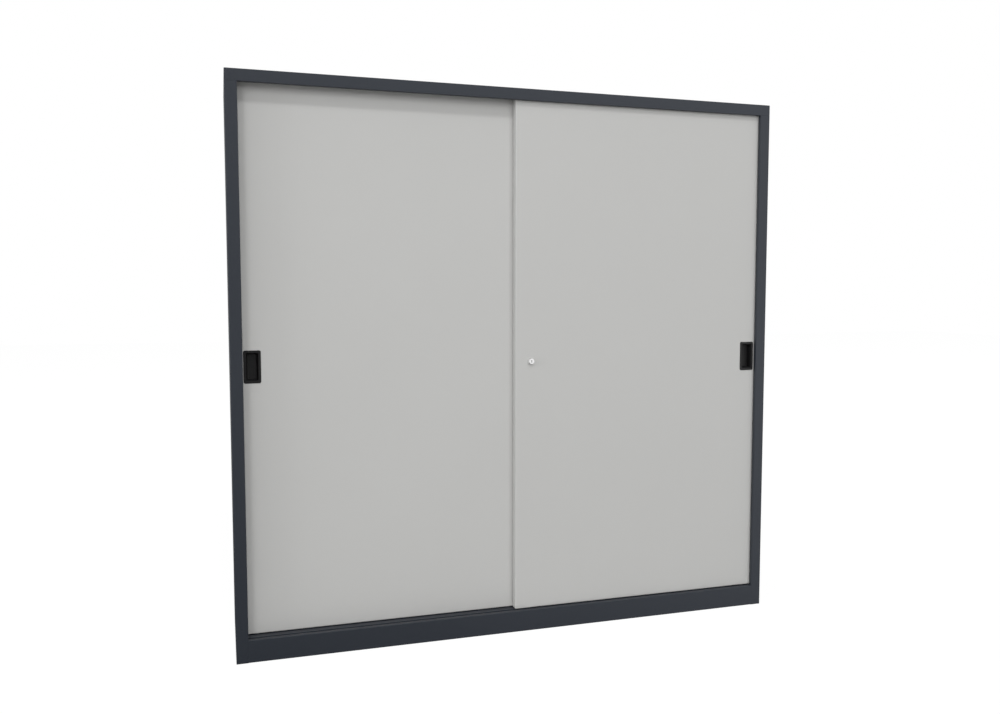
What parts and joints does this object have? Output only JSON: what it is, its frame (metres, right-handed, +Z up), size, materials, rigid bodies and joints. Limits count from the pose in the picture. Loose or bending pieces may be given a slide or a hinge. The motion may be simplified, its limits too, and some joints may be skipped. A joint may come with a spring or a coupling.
{
  "type": "sliding door cabinet",
  "caption": "Floor-standing sheet steel cabinet with sliding doors that pass each other, recessed cup handles, a push lock and shelved bays behind them.",
  "frame": {"origin": "on the floor, under the middle of the cabinet", "axes": "+X to the right seen from the front, +Y to the back, +Z up"},
  "size_m": [2, 0.45, 1.95],
  "materials": {
    "carcass_paint": "fine matt powder coat, anthracite",
    "door_paint": "fine matt powder coat, light grey",
    "zinc_steel": "zinc plated steel",
    "aluminium_rail": "plain extruded aluminium",
    "chrome": "polished plating",
    "black_plastic": "moulded, fine grain",
    "nylon": "turned dark grey nylon",
    "rubber": "matt moulded rubber"
  },
  "bodies": {
    "carcass": {"left_side_panel": "carcass_paint", "right_side_panel": "carcass_paint", "top_panel": "carcass_paint", "base_panel": "carcass_paint", "front_plinth": "carcass_paint", "rear_plinth": "carcass_paint", "back_panel_left": "carcass_paint", "back_panel_right": "carcass_paint", "centre_partition": "carcass_paint", "bottom_track": "carcass_paint", "top_track": "aluminium_rail", "upright_left_outer_front": "carcass_paint", "upright_left_outer_rear": "carcass_paint", "upright_left_inner_front": "carcass_paint", "upright_left_inner_rear": "carcass_paint", "upright_right_inner_front": "carcass_paint", "upright_right_inner_rear": "carcass_paint", "upright_right_outer_front": "carcass_paint", "upright_right_outer_rear": "carcass_paint", "shelf_left_1": "carcass_paint", "shelf_left_2": "carcass_paint", "shelf_left_3": "carcass_paint", "shelf_left_4": "carcass_paint", "shelf_right_1": "carcass_paint", "shelf_right_2": "carcass_paint", "shelf_right_3": "carcass_paint", "shelf_right_4": "carcass_paint", "front_door_buffer_left": "rubber", "front_door_buffer_right": "rubber", "rear_door_buffer_left": "rubber", "rear_door_buffer_right": "rubber"},
    "front_door": {"front_door_panel": "door_paint", "front_door_handle": "black_plastic", "front_door_stiffener_left": "zinc_steel", "front_door_stiffener_right": "zinc_steel", "front_door_roller_bracket_left": "zinc_steel", "front_door_roller_bracket_right": "zinc_steel", "front_door_top_guide_left": "black_plastic", "front_door_top_guide_right": "black_plastic", "lock_housing": "chrome", "lock_nut": "zinc_steel"},
    "rear_door": {"rear_door_panel": "door_paint", "rear_door_handle": "black_plastic", "rear_door_stiffener_left": "zinc_steel", "rear_door_stiffener_right": "zinc_steel", "rear_door_roller_bracket_left": "zinc_steel", "rear_door_roller_bracket_right": "zinc_steel", "rear_door_top_guide_left": "black_plastic", "rear_door_top_guide_right": "black_plastic"},
    "front_roller_left": {"front_door_roller_left": "nylon"},
    "front_roller_right": {"front_door_roller_right": "nylon"},
    "rear_roller_left": {"rear_door_roller_left": "nylon"},
    "rear_roller_right": {"rear_door_roller_right": "nylon"},
    "lock_button": {"lock_plunger": "chrome"},
    "lock_cylinder": {"lock_core": "chrome"},
    "foot_front_left": {"levelling_foot_front_left": "zinc_steel"},
    "foot_front_right": {"levelling_foot_front_right": "zinc_steel"},
    "foot_rear_left": {"levelling_foot_rear_left": "zinc_steel"},
    "foot_rear_right": {"levelling_foot_rear_right": "zinc_steel"}
  },
  "joints": [
    {"name": "front_door_slide", "type": "slide", "parent": "carcass", "child": "front_door", "axis": [1, 0, 0], "range_m": [-0.96, 0]},
    {"name": "rear_door_slide", "type": "slide", "parent": "carcass", "child": "rear_door", "axis": [1, 0, 0], "range_m": [0, 0.96]},
    {"name": "front_roller_left_turn", "type": "hinge", "parent": "front_door", "child": "front_roller_left", "pos_m": [0.062, -0.2025, 0.0863], "axis": [0, 1, 0], "continuous": true},
    {"name": "front_roller_right_turn", "type": "hinge", "parent": "front_door", "child": "front_roller_right", "pos_m": [0.902, -0.2025, 0.0863], "axis": [0, 1, 0], "continuous": true},
    {"name": "rear_roller_left_turn", "type": "hinge", "parent": "rear_door", "child": "rear_roller_left", "pos_m": [-0.902, -0.1685, 0.0863], "axis": [0, 1, 0], "continuous": true},
    {"name": "rear_roller_right_turn", "type": "hinge", "parent": "rear_door", "child": "rear_roller_right", "pos_m": [-0.062, -0.1685, 0.0863], "axis": [0, 1, 0], "continuous": true},
    {"name": "lock_push", "type": "slide", "parent": "front_door", "child": "lock_button", "axis": [0, 1, 0], "range_m": [0, 0.0085], "stiffness_N_per_m": 400},
    {"name": "lock_turn", "type": "hinge", "parent": "lock_button", "child": "lock_cylinder", "pos_m": [0.04, -0.207, 0.989], "axis": [0, 1, 0], "range_deg": [0, 90]},
    {"name": "foot_front_left_screw", "type": "slide", "parent": "carcass", "child": "foot_front_left", "axis": [0, 0, 1], "range_m": [-0.015, 0]},
    {"name": "foot_front_right_screw", "type": "slide", "parent": "carcass", "child": "foot_front_right", "axis": [0, 0, 1], "range_m": [-0.015, 0]},
    {"name": "foot_rear_left_screw", "type": "slide", "parent": "carcass", "child": "foot_rear_left", "axis": [0, 0, 1], "range_m": [-0.015, 0]},
    {"name": "foot_rear_right_screw", "type": "slide", "parent": "carcass", "child": "foot_rear_right", "axis": [0, 0, 1], "range_m": [-0.015, 0]}
  ],
  "couplings": [
    {"joint": "front_roller_left_turn", "follows": "front_door_slide", "rad_per_m": 58.824},
    {"joint": "front_roller_right_turn", "follows": "front_door_slide", "rad_per_m": 58.824},
    {"joint": "rear_roller_left_turn", "follows": "rear_door_slide", "rad_per_m": 58.824},
    {"joint": "rear_roller_right_turn", "follows": "rear_door_slide", "rad_per_m": 58.824}
  ]
}
